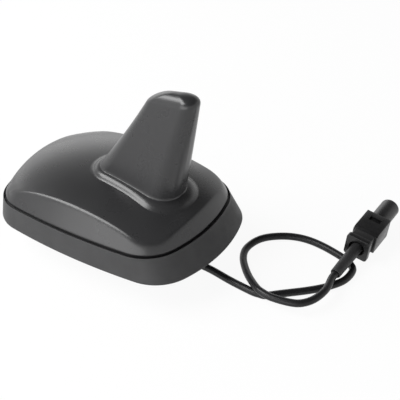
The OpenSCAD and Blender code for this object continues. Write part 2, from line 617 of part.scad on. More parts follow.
bore_d = 5.8;
nose_round = 0.9;
corner_r = 1.3;
lock_gap = 0.1;
lock_y = mix(block_y0, block_y1, 0.69);
key_w = 1.6;
key_t = 0.6;
function round_rectangle(w, h, r) =
    [for (q = [0 : 3]) let (c = [(q == 0 || q == 3 ? 1 : -1) * (w / 2 - r), (q < 2 ? 1 : -1) * (h / 2 - r)])
        each [for (k = [0 : 5]) c + r * [cos(90 * q + 18 * k), sin(90 * q + 18 * k)]]];
block_side = [[block_y0, -block_h / 2], [block_y1, -block_h / 2], [block_y1, block_h / 2],
    [block_y0 + ridge_l, block_h / 2], [block_y0, block_h / 2 - ridge_h]];
function nose_profile(l, r) =
    concat([[0, 0], [r, 0]], [for (k = [0 : 5]) [r - nose_round, l - nose_round] + nose_round * [cos(18 * k),
        sin(18 * k)]], [[0, l]]);
module plug_housing() {
    color([0.06, 0.06, 0.065]) at_plug() difference() {
        union() {
            along_y(0) linear_extrude(flange_t) polygon(round_rectangle(flange_w, flange_h, corner_r));
            along_y(flange_t - 0.5) linear_extrude(block_y0 - flange_t + 1)
                square([waist_w, waist_h], center = true);
            translate([-block_w / 2, 0, 0]) rotate([90, 0, 90]) linear_extrude(block_w) polygon(block_side);
            along_y(block_y1 - 1) rotate_extrude() polygon(nose_profile(plug_l - block_y1 + 1, nose_d / 2));
        }
        along_y(-1) cylinder(d = flange_hole_d, h = flange_t + 0.8);
        along_y(0) cylinder(d = boot_d + 0.2, h = 5);
        along_y(4) cylinder(d = bore_d, h = 20);
        along_y(20) cylinder(d = 6.8, h = 20);
        translate([-lock_w / 2 - lock_gap, lock_y - lock_l / 2 - lock_gap, 0])
            cube([lock_w + 2 * lock_gap, lock_l + 2 * lock_gap, block_h]);
        translate([-key_w / 2, block_y1 + 3, -nose_d / 2 - 1]) cube([key_w, plug_l, 1 + key_t]);
    }
}
module plug_lock() {
    color([0.09, 0.09, 0.095]) at_plug() difference() {
        translate([-lock_w / 2, lock_y - lock_l / 2, 1]) cube([lock_w, lock_l, block_h / 2 - 1 - lock_sunk]);
        along_y(10) cylinder(d = bore_d + 0.1, h = 10);
    }
}
module plug_ferrule() {
    color([0.75, 0.73, 0.6]) at_plug() difference() {
        along_y(4) cylinder(d = 5.2, h = cable_in - 4);
        along_y(3) cylinder(r = cable_d / 2 + cable_gap, h = 10);
    }
}
module plug_shell() {
    color([0.8, 0.7, 0.42]) at_plug() difference() {
        along_y(cable_in) cylinder(d = 5.6, h = 24);
        along_y(cable_in + 0.8) cylinder(d = 4.4, h = 30);
        along_y(cable_in - 1) cylinder(d = 1.1, h = 3);
        for (a = [0, 90]) rotate([0, a, 0]) translate([-4, 27, -0.3]) cube([8, 8, 0.6]);
    }
}
module plug_insulator() {
    color([0.9, 0.9, 0.88]) at_plug() difference() {
        along_y(cable_in + 0.8) cylinder(d = 4.3, h = 16);
        along_y(cable_in) cylinder(d = 1, h = 20);
    }
}
module plug_pin() {
    color([0.85, 0.7, 0.35]) at_plug() {
        along_y(cable_in) cylinder(d = 0.9, h = 21);
        along_y(cable_in + 21) cylinder(d1 = 0.9, d2 = 0.3, h = 0.8);
    }
}

cover();
seal_pad();
neck_seal();
base_plate();
mounting_neck();
cable_bush();
cover_screws();
amplifier_board();
board_screws();
shield_can();
amplifier_chip();
band_filter();
capacitors();
fin_board();
fin_conductor();
fin_contact();
cable_ferrule();
cable_core();
antenna_cable();
plug_boot();
plug_housing();
plug_lock();
plug_ferrule();
plug_shell();
plug_insulator();
plug_pin();
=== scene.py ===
"""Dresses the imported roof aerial: cover, seal pad, neck, boards, cable and plug, with lamps and camera."""

import json
import logging
import math
from dataclasses import dataclass, field
from enum import Enum
from typing import NamedTuple, Sequence

import bmesh
import bpy
from mathutils import Matrix, Vector


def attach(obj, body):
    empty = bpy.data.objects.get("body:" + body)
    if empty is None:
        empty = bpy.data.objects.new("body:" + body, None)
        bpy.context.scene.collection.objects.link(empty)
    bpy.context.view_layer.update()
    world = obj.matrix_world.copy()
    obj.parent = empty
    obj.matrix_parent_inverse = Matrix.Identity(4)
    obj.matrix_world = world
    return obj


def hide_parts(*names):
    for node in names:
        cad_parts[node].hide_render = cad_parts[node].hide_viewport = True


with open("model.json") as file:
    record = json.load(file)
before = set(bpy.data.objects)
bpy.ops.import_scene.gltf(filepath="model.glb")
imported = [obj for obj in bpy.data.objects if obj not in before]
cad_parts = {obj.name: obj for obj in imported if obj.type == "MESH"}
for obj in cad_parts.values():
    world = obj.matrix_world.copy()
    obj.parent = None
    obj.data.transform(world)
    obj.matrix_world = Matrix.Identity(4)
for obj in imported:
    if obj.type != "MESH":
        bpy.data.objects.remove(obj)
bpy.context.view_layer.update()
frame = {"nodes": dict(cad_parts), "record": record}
log = logging.getLogger("aerial")
MM = 0.001
Piece = bpy.types.Object
Node = bpy.types.Node
Socket = bpy.types.NodeSocket
Pair = tuple[float, float]
Trio = tuple[float, float, float]
Point = Trio
Line = list[Pair]
Ring = list[Point]
Profile = tuple[Pair, ...]
Values = tuple[float, ...]


def mix(a: float, b: float, k: float) -> float:
    """The value that lies a share k of the way from a to b."""
    return a + (b - a) * k


def spline(knots: Sequence[Sequence[float]], steps: int) -> list[list[float]]:
    """Runs a smooth curve through knots.

    Args:
        knots: Points of any one length.
        steps: How many steps lie between two knots.

    Returns:
        The curve's points, with the first and the last knot at its ends.
    """
    out: list[list[float]] = []
    last = len(knots) - 1
    for i in range(last):
        a, b, c, d = (knots[max(0, min(last, i + k))] for k in (-1, 0, 1, 2))
        for s in range(steps):
            t = s / steps
            out.append([0.5 * (2 * q + (r - p) * t + (2 * p - 5 * q + 4 * r - u) * t * t
                               + (3 * q - p - 3 * r + u) * t ** 3) for p, q, r, u in zip(a, b, c, d)])
    out.append(list(knots[last]))
    return out


class Slot(Enum):
    """The record's material slots that the dressed pieces take their finishes from."""

    COVER = "cover_plastic"
    PAD = "pad_rubber"
    SEAL = "seal_rubber"
    CAST = "cast_metal"
    PLATED = "plated_steel"
    SCREW = "screw_steel"
    BOARD = "board"
    TINNED = "tinned_steel"
    CHIP = "chip_plastic"
    FILTER = "filter_ceramic"
    CAPACITOR = "capacitor_ceramic"
    COPPER = "copper"
    GILT = "gilt_brass"
    TINNED_BRASS = "tinned_brass"
    JACKET = "cable_jacket"
    BOOT = "boot_rubber"
    PLUG = "plug_plastic"
    LOCK = "lock_plastic"
    INSULATOR = "white_insulator"


@dataclass(frozen=True)
class Nodes:
    """A node tree, with short ways to fill it."""

    tree: bpy.types.NodeTree

    def fill(self, node: Node, inputs: dict[str | int, object]) -> Node:
        """Sets or links a node's inputs.

        Args:
            node: The node.
            inputs: A value or another node's output for each input, by its name or number.

        Returns:
            The same node.
        """
        for key, value in inputs.items():
            if isinstance(value, Socket):
                self.tree.links.new(value, node.inputs[key])
            else:
                node.inputs[key].default_value = value
        return node

    def add(self, kind: str, inputs: dict[str | int, object]) -> Node:
        """Adds a node of a kind, named without ShaderNode in front, and fills its inputs."""
        return self.fill(self.tree.nodes.new("ShaderNode" + kind), inputs)

    def noise(self, place: Socket, size: float, detail: float) -> Socket:
        """Adds noise whose largest forms have a size in millimetres, with finer layers as detail says."""
        inputs = {"Vector": place, "Scale": 1.0 / (size * MM), "Detail": detail}
        return self.add("TexNoise", inputs).outputs["Fac"]

    def seen(self) -> Socket:
        """Tells rays that see the surroundings from rays that only gather light.

        Returns:
            A value that is 1 for rays from the camera, from gloss and through glass, and 0 for the others.
        """
        path = self.add("LightPath", {})
        share = path.outputs["Is Camera Ray"]
        for other in ("Is Glossy Ray", "Is Transmission Ray"):
            either = self.add("Math", {0: share, 1: path.outputs[other]})
            either.operation = "MAXIMUM"
            share = either.outputs[0]
        return share

    def end(self, out: str, share: Socket, first: Node, second: Node) -> None:
        """Mixes two shaders and sends them to the output.

        Args:
            out: The kind of the output node.
            share: The second shader's share.
            first: The first shader.
            second: The second one.
        """
        both = self.add("MixShader", {0: share, 1: first.outputs[0], 2: second.outputs[0]})
        self.add(out, {"Surface": both.outputs[0]})


# The noise values between which colour and gloss go from their lowest to their highest.
NOISE_SPREAD = (0.3, 0.7)
PATCHES_PER_CLOUD = 2.3
COAT_ROUGH = 0.2
CLOUD_DETAIL, PATCH_DETAIL, GRAIN_DETAIL = 5.0, 3.0, 2.0


@dataclass(frozen=True)
class Finish:
    """A procedural finish on Object coordinates: cloudy colour, varied gloss and a fine grain."""

    slot: Slot
    colour: Trio  # linear
    rough: float  # mean roughness
    metallic: float = 0.0  # 1 for metals
    cloud: float = 0.12  # how much the colour varies, as a share
    cloud_size: float = 14.0  # millimetres
    rough_vary: float = 0.05  # up and down
    grain: float = 0.01  # depth of the grain, in millimetres
    grain_size: float = 0.3  # millimetres
    coat: float = 0.0  # weight of a clear coat
    specular: float = 0.5

    def make(self) -> bpy.types.Material:
        """Builds the node tree.

        Returns:
            The new material.
        """
        mat = bpy.data.materials.new(self.slot.value)
        mat.use_nodes = True
        nodes = Nodes(mat.node_tree)
        place = nodes.add("TexCoord", {}).outputs["Object"]
        colour = nodes.add("ValToRGB", {"Fac": nodes.noise(place, self.cloud_size, CLOUD_DETAIL)})
        ends = zip(colour.color_ramp.elements, NOISE_SPREAD, (1 - self.cloud, 1 + self.cloud))
        for end, position, share in ends:
            end.position = position
            end.color = (*(min(1.0, c * share) for c in self.colour), 1)
        low, high = NOISE_SPREAD
        patches = nodes.noise(place, self.cloud_size / PATCHES_PER_CLOUD, PATCH_DETAIL)
        gloss = nodes.add("MapRange", {"Value": patches, "From Min": low, "From Max": high,
                                       "To Min": self.rough - self.rough_vary,
                                       "To Max": self.rough + self.rough_vary})
        grain = nodes.noise(place, self.grain_size, GRAIN_DETAIL)
        bump = nodes.add("Bump", {"Strength": 1.0, "Distance": self.grain * MM, "Height": grain})
        nodes.fill(mat.node_tree.nodes["Principled BSDF"], {
            "Base Color": colour.outputs["Color"], "Metallic": self.metallic,
            "Roughness": gloss.outputs["Result"], "Specular IOR Level": self.specular,
            "Coat Weight": self.coat, "Coat Roughness": COAT_ROUGH, "Normal": bump.outputs["Normal"]})
        return mat


FINISHES = [
    Finish(Slot.COVER, (0.023, 0.023, 0.024), 0.28, rough_vary=0.015, grain=0.003, grain_size=0.35,
           cloud=0.06, cloud_size=30),
    Finish(Slot.PAD, (0.04, 0.04, 0.041), 0.5, grain=0.02, grain_size=0.5, cloud=0.1, cloud_size=9,
           specular=0.3),
    Finish(Slot.SEAL, (0.03, 0.03, 0.03), 0.7, grain=0.02, grain_size=0.4),
    Finish(Slot.CAST, (0.56, 0.57, 0.59), 0.5, metallic=1.0, grain=0.04, grain_size=0.6),
    Finish(Slot.PLATED, (0.66, 0.67, 0.69), 0.3, metallic=1.0, grain_size=0.4),
    Finish(Slot.SCREW, (0.6, 0.61, 0.63), 0.32, metallic=1.0),
    Finish(Slot.BOARD, (0.03, 0.16, 0.08), 0.35, coat=0.4, grain_size=0.5),
    Finish(Slot.TINNED, (0.72, 0.72, 0.73), 0.28, metallic=1.0, grain=0.02, grain_size=1.2),
    Finish(Slot.CHIP, (0.03, 0.03, 0.03), 0.55, grain_size=0.2),
    Finish(Slot.FILTER, (0.75, 0.72, 0.62), 0.45),
    Finish(Slot.CAPACITOR, (0.5, 0.38, 0.24), 0.5, grain_size=0.2),
    Finish(Slot.COPPER, (0.78, 0.42, 0.22), 0.3, metallic=1.0, grain_size=0.4),
    Finish(Slot.GILT, (0.82, 0.66, 0.32), 0.24, metallic=1.0, grain=0.006),
    Finish(Slot.TINNED_BRASS, (0.74, 0.72, 0.6), 0.35, metallic=1.0),
    Finish(Slot.JACKET, (0.012, 0.012, 0.013), 0.34, grain=0.008, grain_size=0.5, cloud=0.1, cloud_size=6,
           specular=0.25),
    Finish(Slot.BOOT, (0.026, 0.026, 0.027), 0.5, grain=0.03, grain_size=0.45, cloud=0.14, cloud_size=5,
           specular=0.25),
    Finish(Slot.PLUG, (0.008, 0.008, 0.0085), 0.33, grain=0.02, cloud=0.2, cloud_size=2, specular=0.46),
    Finish(Slot.LOCK, (0.01, 0.01, 0.0105), 0.42, grain=0.02, specular=0.2),
    Finish(Slot.INSULATOR, (0.82, 0.82, 0.8), 0.4, grain=0.005),
]


class Workshop:
    """Small tools that every sub-assembly shares: wrapping, cutting, dressing and handing over pieces."""

    def __init__(self, nodes: dict[str, Piece]) -> None:
        """Keeps the CAD nodes and makes all finishes.

        Args:
            nodes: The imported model's nodes by name.
        """
        self.nodes = nodes
        self.replaced: set[str] = set()
        self.mats = {f.slot: f.make() for f in FINISHES}

    @staticmethod
    def clear() -> None:
        """Leaves edit mode and selects nothing."""
        if bpy.context.object and bpy.context.object.mode != "OBJECT":
            bpy.ops.object.mode_set(mode="OBJECT")
        bpy.ops.object.select_all(action="DESELECT")

    def pick(self, obj: Piece) -> None:
        """Selects one object alone and makes it the active one."""
        self.clear()
        obj.select_set(True)
        bpy.context.view_layer.objects.active = obj

    def wrap(self, name: str, rings: Sequence[Ring], tube: bool = False) -> Piece:
        """Wraps a grid primitive round rings of points and closes it.

        Args:
            name: The new object's name.
            rings: Rings of equal length, in millimetres.
            tube: Joins the last ring to the first one; otherwise both ends are closed with a face.

        Returns:
            The new object, with its place in its mesh and its faces outwards.
        """
        self.clear()
        rows = list(rings) + ([rings[0]] if tube else [])
        m, n = len(rows), len(rows[0])
        bpy.ops.mesh.primitive_grid_add(x_subdivisions=m - 1, y_subdivisions=n, size=1.0)
        obj = bpy.context.object
        assert len(obj.data.vertices) == m * (n + 1), "the grid has other rows than expected"
        obj.name = obj.data.name = name
        for v in obj.data.vertices:
            i = round((v.co.x + 0.5) * (m - 1))
            j = round((v.co.y + 0.5) * n) % n
            v.co = Vector(rows[i][j]) * MM
        bpy.ops.object.mode_set(mode="EDIT")
        bpy.ops.mesh.select_all(action="SELECT")
        bpy.ops.mesh.remove_doubles(threshold=1e-7)
        if not tube:
            bpy.ops.mesh.fill_holes(sides=0)
        bpy.ops.mesh.select_all(action="SELECT")
        bpy.ops.mesh.normals_make_consistent(inside=False)
        bpy.ops.object.mode_set(mode="OBJECT")
        return obj

    @staticmethod
    def settle(obj: Piece) -> None:
        """Puts an object's own place into its mesh."""
        obj.data.transform(obj.matrix_basis)
        obj.matrix_basis = Matrix.Identity(4)

    def apply(self, obj: Piece) -> None:
        """Applies all the modifiers of a piece, in order."""
        self.pick(obj)
        for m in list(obj.modifiers):
            bpy.ops.object.modifier_apply(modifier=m.name)

    def smooth(self, obj: Piece, angle: float) -> None:
        """Shades a piece smooth except across edges sharper than an angle in degrees."""
        self.pick(obj)
        bpy.ops.object.shade_smooth_by_angle(angle=math.radians(angle))

    def soften(self, obj: Piece, width: float, angle: float) -> None:
        """Rounds the sharp edges of a piece.

        Args:
            obj: The piece.
            width: Width of the rounding, in millimetres.
            angle: Only edges sharper than this are rounded, in degrees.
        """
        bevel = obj.modifiers.new("soften", "BEVEL")
        bevel.width = width * MM
        bevel.segments = 3
        bevel.limit_method = "ANGLE"
        bevel.angle_limit = math.radians(angle)
        self.apply(obj)

    def box(self, low: Point, high: Point, bevel: float = 0.0, segments: int = 3) -> Piece:
        """Makes a box, with rounded edges where a radius is given.

        Args:
            low: Lowest corner, in millimetres.
            high: Highest corner, in millimetres.
            bevel: Radius of its edges.
            segments: Steps across each rounded edge.

        Returns:
            The box, with its place in its mesh.
        """
        self.clear()
        mid = [(a + b) / 2 * MM for a, b in zip(low, high)]
        bpy.ops.mesh.primitive_cube_add(size=1.0, location=mid)
        obj = bpy.context.object
        obj.scale = [(b - a) * MM for a, b in zip(low, high)]
        self.settle(obj)
        if bevel:
            bpy.ops.object.mode_set(mode="EDIT")
            bpy.ops.mesh.select_all(action="SELECT")
            bpy.ops.mesh.bevel(offset=bevel * MM, segments=segments, affect="EDGES")
            bpy.ops.object.mode_set(mode="OBJECT")
        return obj

    def post(self, at: Pair, r: float, low: float, high: float) -> Piece:
        """Makes a round post that stands upright.

        Args:
            at: Its place, in millimetres.
            r: Its radius.
            low: Height of its lower end.
            high: Height of its upper end.

        Returns:
            The post, with its place in its mesh.
        """
        self.clear()
        bpy.ops.mesh.primitive_cylinder_add(vertices=32, radius=r * MM, depth=(high - low) * MM,
                                            location=(at[0] * MM, at[1] * MM, (high + low) / 2 * MM))
        self.settle(bpy.context.object)
        return bpy.context.object

    def lathe(self, name: str, profile: Sequence[Pair], steps: int = 64, tube: bool = False) -> Piece:
        """Turns a profile round the Y axis.

        Args:
            name: The new object's name.
            profile: Pairs of place along Y and radius, in millimetres.
            steps: Faces round the axis.
            tube: The profile is closed, for a piece with a bore.

        Returns:
            The turned piece.
        """
        rings = [[(r * math.sin(2 * math.pi * k / steps), y, r * math.cos(2 * math.pi * k / steps))
                  for k in range(steps)] for y, r in profile]
        return self.wrap(name, rings, tube=tube)

    def cut(self, obj: Piece, *tools: Piece, how: str = "DIFFERENCE") -> None:
        """Cuts tools out of a piece, or joins them on, and removes them.

        Args:
            obj: The piece.
            tools: The tools' objects, which stand apart from each other.
            how: DIFFERENCE to cut, UNION to join on.
        """
        self.pick(tools[0])
        if len(tools) > 1:
            for tool in tools:
                tool.select_set(True)
            bpy.ops.object.join()
        m = obj.modifiers.new("cut", "BOOLEAN")
        m.operation = how
        m.object = tools[0]
        m.solver = "EXACT"
        self.apply(obj)
        bpy.data.objects.remove(tools[0])

    def hand_over(self, obj: Piece, slot: Slot, *nodes: str) -> Piece:
        """Dresses a finished piece, rides it on the body and lets it stand for its CAD nodes.

        Args:
            obj: The piece.
            slot: Its finish.
            nodes: The CAD nodes that it replaces.

        Returns:
            The same piece.
        """
        obj.data.materials.clear()
        obj.data.materials.append(self.mats[slot])
        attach(obj, "root")
        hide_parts(*nodes)
        self.replaced.update(nodes)
        size = f"{len(obj.data.polygons)} faces" if obj.type == "MESH" else "a curve"
        log.info("%s: %s, finish %s", obj.name, size, slot.value)
        return obj


class Section(NamedTuple):
    """A section of the fin, in millimetres: its two ends along X, its half width and its radii."""

    front_x: float
    front_r: float
    rear_x: float
    half_w: float
    rear_r: float


@dataclass
class BodyShape:
    """The body's outline, crown and fin, with the same values as the part's source, in millimetres."""

    body_l: float = 104.0
    body_w: float = 74.6
    front_r: float = 72.0
    rear_r: float = 70.0
    side_r: float = 288.0
    front_corner_r: float = 17.5
    rear_corner_r: float = 19.5
    widest_x: float = -4.0
    pad_h: float = 10.2
    pad_rise: float = 0.016
    lip_in: Trio = (0.5, 1.8, 6.0)  # in from the pad's foot: front, sides, rear
    lip_w: float = 0.4
    groove_w: float = 0.9
    groove_d: float = 1.2
    pad_floor: float = 2.5
    wall: float = 2.2
    edge_h: float = 1.0
    flank_angle: float = 62.0
    crown_h: float = 14.1
    crown_l: float = 52.3
    crown_w: float = 43.6
    crown_x: float = -1.5
    crown_least: float = 0.02  # keeps the root real beyond the crown
    crown_start: float = 1.5  # as a multiple of the crease's distance from the edge
    crease_soft: float = 1.4
    foot: Section = Section(-8.7, 7.8, 31.9, 10.1, 8.9)  # the fin's foot
    top: Section = Section(16.3, 4.2, 40.4, 5.3, 5.0)  # the fin's top ring
    top_z: float = 68.5
    top_rise: float = 0.18
    tip_h: float = 4.9
    tip_in: Pair = (9.8, 9.6)  # front, rear
    tip_full: float = 2.1  # a little softer than in the part's source
    tip_end: float = 0.08
    foot_lift: float = 2.2
    collar: Trio = (3.4, 5.0, 1.8)  # width beside the fin, width behind it, height
    fine: int = 3  # times the points of the part's source
    edge: Line = field(default_factory=list)
    inward: Line = field(default_factory=list)
    crease: list[float] = field(default_factory=list)

    def __post_init__(self) -> None:
        """Works out the cover's edge, and by short steps how far in the crease lies at each of its points."""
        self.edge = self.outline(1, self.edge_in)
        one_in = self.outline(1, self.edge_in + 1)
        self.inward = [(q[0] - p[0], q[1] - p[1]) for p, q in zip(self.edge, one_in)]
        first_guess, steps = 4.0, 12
        for p, n in zip(self.edge, self.inward):
            s = first_guess
            for _ in range(steps):
                q = (p[0] + n[0] * s, p[1] + n[1] * s)
                s = 0.5 * s + 0.5 * (self.crown_z(*q) - self.flank_z(p, 0)) / self.slope
            self.crease.append(s)

    @property
    def edge_in(self) -> float:
        """How far the cover's edge lies in from the lip's outer edge."""
        return self.lip_w + self.groove_w

    @property
    def slope(self) -> float:
        """Rise of the flank for each millimetre inwards."""
        return math.tan(math.radians(self.flank_angle))

    @staticmethod
    def meet(c1: Pair, r1: float, c2: Pair, r2: float) -> Pair:
        """Finds where two circles meet.

        Args:
            c1: Centre of the first circle.
            r1: Its radius.
            c2: Centre of the second circle.
            r2: Its radius.

        Returns:
            The meeting point with the higher Y.
        """
        dx, dy = c2[0] - c1[0], c2[1] - c1[1]
        g = math.hypot(dx, dy)
        a = (r1 * r1 - r2 * r2 + g * g) / (2 * g)
        h = math.sqrt(r1 * r1 - a * a)
        ux, uy = dx / g, dy / g
        p = (c1[0] + a * ux - h * uy, c1[1] + a * uy + h * ux)
        q = (c1[0] + a * ux + h * uy, c1[1] + a * uy - h * ux)
        return p if p[1] > q[1] else q

    @staticmethod
    def turn_to(c: Pair, p: Pair) -> float:
        """The direction from c to p, in radians."""
        return math.atan2(p[1] - c[1], p[0] - c[0])

    @staticmethod
    def arc(c: Pair, r: float, a: float, b: float, n: int) -> Line:
        """Points on an arc round c from angle a to just short of angle b, in radians."""
        turns = [a + (b - a) * i / n for i in range(n)]
        return [(c[0] + r * math.cos(t), c[1] + r * math.sin(t)) for t in turns]

    @staticmethod
    def loop(half: Line) -> Line:
        """Closes the +Y half of a ring with its mirror image."""
        return half + [(x, -y) for x, y in half[-2:0:-1]]

    def outline(self, f: float, e: float) -> Line:
        """The body's outline: eight arcs for the two ends, the two sides and the four corners.

        Args:
            f: Share of the way from the roof to the lip.
            e: How far the outline is moved in, in millimetres.

        Returns:
            The ring, from the middle of the rear end over +Y.
        """
        front, rear = self.body_l / 2 - f * self.lip_in[0], self.body_l / 2 - f * self.lip_in[2]
        side = self.body_w / 2 - f * self.lip_in[1]
        cr, cf = (rear - self.rear_r, 0.0), (self.front_r - front, 0.0)
        cs = (self.widest_x, side - self.side_r)
        kr = self.meet(cr, self.rear_r - self.rear_corner_r, cs, self.side_r - self.rear_corner_r)
        kf = self.meet(cf, self.front_r - self.front_corner_r, cs, self.side_r - self.front_corner_r)
        a1, a2 = self.turn_to(cr, kr), self.turn_to(cs, kr)
        a3, a4 = self.turn_to(cs, kf), self.turn_to(cf, kf)
        arcs = ((cr, self.rear_r, 0, a1, 4), (kr, self.rear_corner_r, a1, a2, 7),
                (cs, self.side_r, a2, a3, 8), (kf, self.front_corner_r, a3, a4, 7),
                (cf, self.front_r, a4, math.pi, 4))
        half: Line = []
        for centre, radius, a, b, count in arcs:
            half += self.arc(centre, radius - e, a, b, count * self.fine)
        return self.loop(half + [(-front + e, 0.0)])

    def section(self, sizes: Section) -> Line:
        """A fin section: a round front edge, straight sides and two rear corners.

        Args:
            sizes: The section's sizes.

        Returns:
            The ring, from the middle of the rear end over +Y.
        """
        x1, r1, x2, w, r2 = sizes
        c1, c2 = (x1 + r1, 0.0), (x2 - r2, w - r2)
        dx, dy = c2[0] - c1[0], c2[1] - c1[1]
        a = math.atan2(dy, dx) + math.acos((r1 - r2) / math.hypot(dx, dy))
        p = (c2[0] + r2 * math.cos(a), c2[1] + r2 * math.sin(a))
        q = (c1[0] + r1 * math.cos(a), c1[1] + r1 * math.sin(a))
        k = self.fine
        half = [(x2, (w - r2) * i / (4 * k)) for i in range(4 * k)] + self.arc(c2, r2, 0, a, 7 * k)
        half += [(mix(p[0], q[0], i / (8 * k)), mix(p[1], q[1], i / (8 * k))) for i in range(8 * k)]
        return self.loop(half + self.arc(c1, r1, a, math.pi, 11 * k) + [(x1, 0.0)])

    def fin_at(self, k: float, e: float) -> Line:
        """The fin's section at share k of its height, grown outwards by e."""
        x1, r1, x2, w, r2 = (mix(a, b, k) for a, b in zip(self.foot, self.top))
        return self.section(Section(x1 - e, r1 + e, x2 + e, w + e, r2 + e))

    def lip_z(self, x: float) -> float:
        """Height of the pad's lip."""
        return self.pad_h + self.pad_rise * x

    def crown_z(self, x: float, y: float) -> float:
        """Height of the crown."""
        inside = 1 - ((x - self.crown_x) / self.crown_l) ** 2 - (y / self.crown_w) ** 2
        return self.pad_h + self.crown_h * math.sqrt(max(self.crown_least, inside))

    def flank_z(self, p: Pair, s: float) -> float:
        """Height of the flank at a distance s in from the cover's edge at p."""
        return self.lip_z(p[0]) + self.edge_h + self.slope * s

    def cover_ring(self, t: float) -> Ring:
        """A ring of the outer skin, with a soft crease where flank and crown meet.

        Args:
            t: Its distance in from the edge, as a multiple of the crease's.

        Returns:
            The ring.
        """
        out = []
        for p, n, c in zip(self.edge, self.inward, self.crease):
            s = t * c
            x, y = p[0] + n[0] * s, p[1] + n[1] * s
            a, b, k = self.flank_z(p, s), self.crown_z(x, y), self.crease_soft
            z = min(a, b) if abs(a - b) >= k else min(a, b) - (k - abs(a - b)) ** 2 / (4 * k)
            out.append((x, y, z))
        return out

    def inner_ring(self, t: float) -> Ring:
        """A ring of the inner skin, a wall's thickness inside the outer one.

        Args:
            t: The outer ring's distance in from the edge, as a multiple of the crease's.

        Returns:
            The ring.
        """
        out = []
        for p, n, c in zip(self.edge, self.inward, self.crease):
            x, y = p[0] + n[0] * (t * c + self.wall), p[1] + n[1] * (t * c + self.wall)
            out.append((x, y, min(self.flank_z(p, t * c), self.crown_z(x, y) - self.wall)))
        return out

    def edge_ring(self, e: float, z: float) -> Ring:
        """The outline at the lip, moved in by e, z above the lip."""
        return [(x, y, self.lip_z(x) + z) for x, y in self.outline(1, e)]

    def flat_ring(self, f: float, e: float, z: float) -> Ring:
        """A level outline."""
        return [(x, y, z) for x, y in self.outline(f, e)]

    def top_plane(self, x: float) -> float:
        """Height of the fin's top ring."""
        return self.top_z + self.top_rise * (x - self.top.rear_x)

    def crown_ring(self, k: float, drop: float = 0.0) -> Ring:
        """A ring of the crown.

        Args:
            k: Share of the way from the crease to the collar.
            drop: How far it lies below the outer skin.

        Returns:
            The ring.
        """
        a, b = self.cover_ring(self.crown_start), self.collar_at(1)
        pts = [(mix(p[0], q[0], k), mix(p[1], q[1], k)) for p, q in zip(a, b)]
        return [(x, y, self.crown_z(x, y) - drop) for x, y in pts]

    def collar_at(self, k: float) -> Line:
        """A line round the fin's foot in the collar, whose width grows towards the rear.

        Args:
            k: Share of the collar's width out from the foot.

        Returns:
            The line.
        """
        middle, rear = (self.foot.front_x + self.foot.rear_x) / 2, self.foot.rear_x
        out = []
        for p, q in zip(self.fin_at(0, k * self.collar[0]), self.fin_at(0, k * self.collar[1])):
            s = max(0.0, min(1.0, (p[0] - middle) / (rear - middle)))
            out.append((mix(p[0], q[0], s), mix(p[1], q[1], s)))
        return out

    def over_crown(self, line: Line, z: float) -> Ring:
        """A ring along a line, z over the crown."""
        return [(x, y, self.crown_z(x, y) + z) for x, y in line]

    def fin_ring(self, k: float, e: float = 0.0, drop: float = 0.0) -> Ring:
        """The fin's skin at share k of its height, grown outwards by e and lowered by drop."""
        return [(x, y, mix(self.crown_z(x, y) + self.foot_lift, self.top_plane(x), k) - drop)
                for x, y in self.fin_at(k, e)]

    def tip_ring(self, degrees: float) -> Ring:
        """A ring of the rounded tip, which goes on in the fin's slopes and closes over a quarter turn.

        Args:
            degrees: How far round the quarter turn the ring lies.

        Returns:
            The ring.
        """
        foot, top = self.foot, self.top
        rise_front, rise_rear = (self.top_plane(b) - self.crown_z(a, 0) - self.foot_lift
                                 for a, b in ((foot.front_x, top.front_x), (foot.rear_x, top.rear_x)))
        t = math.radians(degrees)
        k, h = 1 - math.cos(t), self.tip_h * math.sin(t)
        side = max(0.0, 1 - math.sin(t) ** self.tip_full) ** (1 / self.tip_full)
        g = (1 - (foot.half_w - top.half_w) / rise_rear * h / top.half_w) * mix(self.tip_end, 1, side)
        front = top.front_x + (top.front_x - foot.front_x) / rise_front * h + self.tip_in[0] * k
        rear = top.rear_x + (top.rear_x - foot.rear_x) / rise_rear * h - self.tip_in[1] * k
        line = self.section(Section(front, top.front_r * g, rear, top.half_w * g, top.rear_r * g))
        return [(x, y, self.top_plane(x) + h) for x, y in line]


